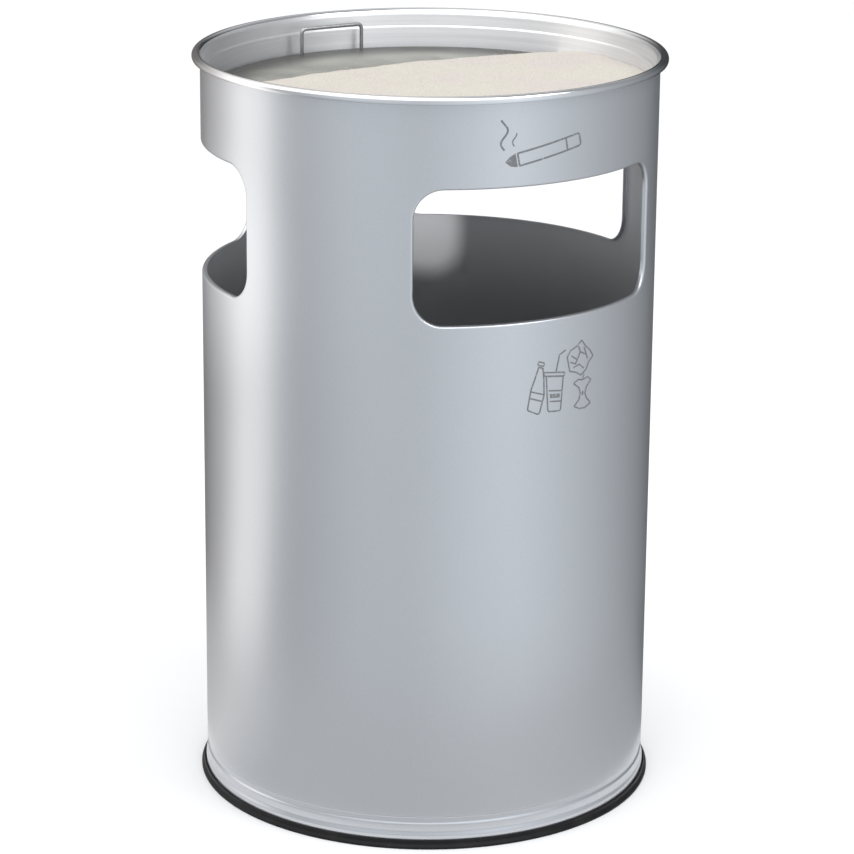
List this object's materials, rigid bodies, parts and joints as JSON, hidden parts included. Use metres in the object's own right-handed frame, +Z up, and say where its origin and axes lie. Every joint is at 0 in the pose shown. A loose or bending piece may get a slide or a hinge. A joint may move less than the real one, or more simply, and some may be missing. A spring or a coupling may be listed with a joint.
{
  "type": "litter bin",
  "caption": "Round free-standing litter bin with wide side openings, a lift-out sand ash tray with sieve, and an inner bucket.",
  "frame": {"origin": "on the bin's axis, at the underside of the floor ring", "axes": "+Z up along the bin's axis; -Y is the front, the side with the pictograms; +X is to the right seen from the front"},
  "size_m": [0.404, 0.404, 0.648],
  "materials": {
    "silver_coat": "silver-grey metallic powder coat, satin",
    "inner_coat": "same coat in the bin's shade, satin",
    "black_rubber": "matte black rubber",
    "tray_coat": "silver-grey metallic powder coat, satin",
    "sieve_zinc": "dull zinc-plated perforated sheet",
    "steel_wire": "bright zinc-plated wire",
    "nut_steel": "plain steel, dull",
    "sand": "fine dry quartz sand",
    "galvanised": "hot-dip galvanised sheet with spangle",
    "bail_steel": "galvanised wire",
    "decal_print": "thin printed film, satin"
  },
  "bodies": {
    "drum": {"body_shell": "silver_coat", "base_plate": "inner_coat", "floor_ring": "black_rubber"},
    "tray": {"ash_tray": "tray_coat"},
    "sieve": {"sieve_plate": "sieve_zinc", "sieve_handle_back": "steel_wire", "sieve_handle_front": "steel_wire", "handle_nut_1": "nut_steel", "handle_nut_2": "nut_steel", "handle_nut_3": "nut_steel", "handle_nut_4": "nut_steel", "sand": "sand"},
    "liner": {"liner_wall": "galvanised", "liner_base": "galvanised", "liner_rim_wire": "steel_wire", "bail_ear_left": "galvanised", "bail_ear_right": "galvanised", "ear_rivet_1": "nut_steel", "ear_rivet_2": "nut_steel", "ear_rivet_3": "nut_steel", "ear_rivet_4": "nut_steel"},
    "bail": {"liner_bail": "bail_steel"}
  },
  "joints": [
    {"name": "tray_lift", "type": "slide", "parent": "drum", "child": "tray", "axis": [0, 0, 1], "range_m": [0, 0.12]},
    {"name": "sieve_lift", "type": "slide", "parent": "tray", "child": "sieve", "axis": [0, 0, 1], "range_m": [0, 0.1]},
    {"name": "liner_lift", "type": "slide", "parent": "drum", "child": "liner", "axis": [0, 0, 1], "range_m": [0, 0.285]},
    {"name": "bail_hinge", "type": "hinge", "parent": "liner", "child": "bail", "pos_m": [0, 0, 0.3028], "axis": [-1, 0, 0], "range_deg": [0, 180]}
  ]
}
